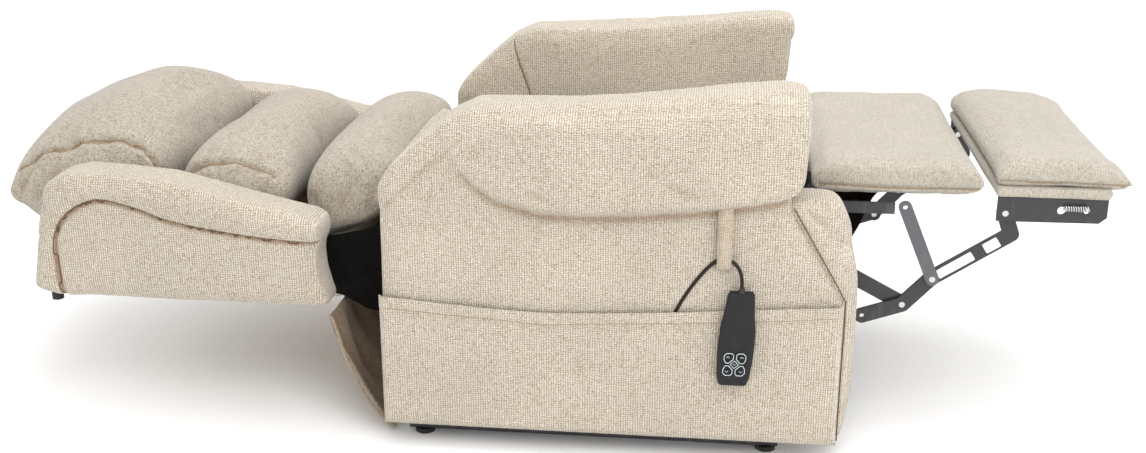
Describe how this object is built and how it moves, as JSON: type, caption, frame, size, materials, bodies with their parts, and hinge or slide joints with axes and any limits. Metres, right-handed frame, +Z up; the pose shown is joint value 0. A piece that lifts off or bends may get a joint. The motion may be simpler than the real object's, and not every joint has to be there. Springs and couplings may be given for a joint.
{
  "type": "lift recliner chair",
  "caption": "Powered lift recliner lying flat: waterfall-pillow back, flat arms, chaise leg rest on folding links, steel lift base and corded handset.",
  "frame": {"origin": "centre of the chair's outer box, on the floor", "axes": "+X towards the foot end, +Z up, the sitter's right-hand side on -Y"},
  "size_m": [1.953, 0.836, 0.638],
  "materials": {
    "oat_weave": "chunky woven upholstery, soft sheen",
    "fleck_weave": "flecked woven upholstery",
    "strap_webbing": "woven tape",
    "dark_lining": "thin non-woven lining",
    "black_steel": "satin black paint",
    "zinc_steel": "zinc plated",
    "frame_wood": "unfinished hardwood",
    "black_rubber": "matt moulded rubber",
    "motor_plastic": "moulded plastic",
    "handset_plastic": "fine moulded texture",
    "button_plastic": "smooth moulded plastic",
    "cord_jacket": "smooth flexible jacket"
  },
  "bodies": {
    "base": {"base_runners": "black_steel", "base_cross_tubes": "black_steel", "base_feet": "black_rubber", "base_brackets": "black_steel", "base_pivot_pins": "zinc_steel"},
    "lift_arms": {"lift_arm_plates": "black_steel", "lift_arm_cross_tubes": "black_steel"},
    "chassis": {"seat_rails": "black_steel", "seat_cross_rails": "black_steel", "seat_springs": "zinc_steel", "seat_cushion": "oat_weave", "calf_pad": "oat_weave", "lift_hangers": "black_steel", "mechanism_brackets": "black_steel", "mechanism_pins": "zinc_steel", "right_arm_panel": "oat_weave", "left_arm_panel": "oat_weave", "right_arm_pad": "oat_weave", "left_arm_pad": "oat_weave", "arm_inner_panels": "oat_weave", "arm_front_borders": "oat_weave", "rear_flap": "oat_weave", "side_pocket": "oat_weave", "handset_strap": "strap_webbing", "cord_grommet": "black_rubber", "handset_cord": "cord_jacket", "power_control_box": "motor_plastic"},
    "back": {"right_wing": "oat_weave", "left_wing": "oat_weave", "back_shell": "dark_lining", "back_lining": "dark_lining", "back_frame": "frame_wood", "back_hinge_plates": "black_steel", "back_pins_and_tube": "zinc_steel", "back_bumpers": "black_rubber", "head_pillow": "fleck_weave", "mid_pillow": "fleck_weave", "lumbar_pillow": "fleck_weave"},
    "lower_links": {"lower_leg_links": "black_steel"},
    "bent_links": {"bent_leg_links": "black_steel", "leg_link_pins": "zinc_steel"},
    "upright_links": {"upright_leg_links": "black_steel"},
    "footrest": {"foot_brackets": "black_steel", "foot_board": "frame_wood", "bracket_springs": "zinc_steel", "foot_pad": "oat_weave"},
    "lift_motor": {"lift_motor": "motor_plastic"},
    "lift_rod": {"lift_rod": "zinc_steel"},
    "back_motor": {"back_motor": "motor_plastic"},
    "back_rod": {"back_rod": "zinc_steel"},
    "leg_motor": {"leg_motor": "motor_plastic"},
    "leg_rod": {"leg_rod": "zinc_steel"},
    "handset": {"handset_back": "handset_plastic", "handset_front": "handset_plastic", "cord_strain_relief": "black_rubber"},
    "button_1": {"handset_button_1": "button_plastic"},
    "button_2": {"handset_button_2": "button_plastic"},
    "button_3": {"handset_button_3": "button_plastic"},
    "button_4": {"handset_button_4": "button_plastic"},
    "button_5": {"handset_button_5": "button_plastic"}
  },
  "joints": [
    {"name": "lift", "type": "hinge", "parent": "base", "child": "lift_arms", "pos_m": [0.36, 0, 0.08], "axis": [0, 1, 0], "range_deg": [0, 40]},
    {"name": "seat_tilt", "type": "hinge", "parent": "lift_arms", "child": "chassis", "pos_m": [-0.12, 0, 0.12], "axis": [0, 1, 0], "range_deg": [-12, 0]},
    {"name": "back_recline", "type": "hinge", "parent": "chassis", "child": "back", "pos_m": [-0.175, 0, 0.354], "axis": [0, 1, 0], "range_deg": [0, 65], "deforming": ["rear_flap"]},
    {"name": "leg_rest", "type": "hinge", "parent": "chassis", "child": "lower_links", "pos_m": [0.45, 0, 0.33], "axis": [0, 1, 0], "range_deg": [0, 104], "deforming": ["calf_pad"]},
    {"name": "leg_link_fold", "type": "hinge", "parent": "lower_links", "child": "bent_links", "pos_m": [0.62, 0, 0.24], "axis": [0, 1, 0], "range_deg": [-104, 0]},
    {"name": "upright_link_fold", "type": "hinge", "parent": "bent_links", "child": "upright_links", "pos_m": [0.665, 0, 0.29], "axis": [0, 1, 0], "range_deg": [-58, 0]},
    {"name": "foot_fold", "type": "hinge", "parent": "bent_links", "child": "footrest", "pos_m": [0.772, 0, 0.41], "axis": [0, 1, 0], "range_deg": [0, 88]},
    {"name": "lift_motor_swing", "type": "hinge", "parent": "base", "child": "lift_motor", "pos_m": [-0.15, 0, 0.07], "axis": [0, 1, 0], "range_deg": [-4.6, 0]},
    {"name": "lift_rod_slide", "type": "slide", "parent": "lift_motor", "child": "lift_rod", "axis": [0.999, 0, 0.0444], "range_m": [0, 0.0215]},
    {"name": "back_motor_swing", "type": "hinge", "parent": "chassis", "child": "back_motor", "pos_m": [0.2, 0, 0.19], "axis": [0, 1, 0], "range_deg": [0, 7.5]},
    {"name": "back_rod_slide", "type": "slide", "parent": "back_motor", "child": "back_rod", "axis": [-0.9773, 0, 0.2119], "range_m": [0, 0.07]},
    {"name": "leg_motor_swing", "type": "hinge", "parent": "chassis", "child": "leg_motor", "pos_m": [0, 0, 0.2], "axis": [0, 1, 0], "range_deg": [-1.6, 0]},
    {"name": "leg_rod_slide", "type": "slide", "parent": "leg_motor", "child": "leg_rod", "axis": [0.979, 0, 0.204], "range_m": [-0.067, 0]},
    {"name": "handset_swing", "type": "hinge", "parent": "chassis", "child": "handset", "pos_m": [0.348, -0.407, 0.322], "axis": [0, 1, 0], "range_deg": [-25, 25]},
    {"name": "press_button_1", "type": "slide", "parent": "handset", "child": "button_1", "axis": [0, 1, 0], "range_m": [0, 0.001], "stiffness_N_per_m": 400},
    {"name": "press_button_2", "type": "slide", "parent": "handset", "child": "button_2", "axis": [0, 1, 0], "range_m": [0, 0.001], "stiffness_N_per_m": 400},
    {"name": "press_button_3", "type": "slide", "parent": "handset", "child": "button_3", "axis": [0, 1, 0], "range_m": [0, 0.001], "stiffness_N_per_m": 400},
    {"name": "press_button_4", "type": "slide", "parent": "handset", "child": "button_4", "axis": [0, 1, 0], "range_m": [0, 0.001], "stiffness_N_per_m": 400},
    {"name": "press_button_5", "type": "slide", "parent": "handset", "child": "button_5", "axis": [0, 1, 0], "range_m": [0, 0.001], "stiffness_N_per_m": 400}
  ],
  "couplings": [
    {"joint": "seat_tilt", "follows": "lift", "ratio": -0.3},
    {"joint": "lift_motor_swing", "follows": "lift", "ratio": -0.1121},
    {"joint": "lift_rod_slide", "follows": "lift", "m_per_rad": 0.03013},
    {"joint": "back_motor_swing", "follows": "back_recline", "ratio": 0.1129},
    {"joint": "back_rod_slide", "follows": "back_recline", "m_per_rad": 0.06135},
    {"joint": "leg_link_fold", "follows": "leg_rest", "ratio": -1},
    {"joint": "upright_link_fold", "follows": "leg_rest", "ratio": -0.5556},
    {"joint": "foot_fold", "follows": "leg_rest", "ratio": 0.846},
    {"joint": "leg_motor_swing", "follows": "leg_rest", "ratio": -0.0139},
    {"joint": "leg_rod_slide", "follows": "leg_rest", "m_per_rad": -0.03665}
  ]
}
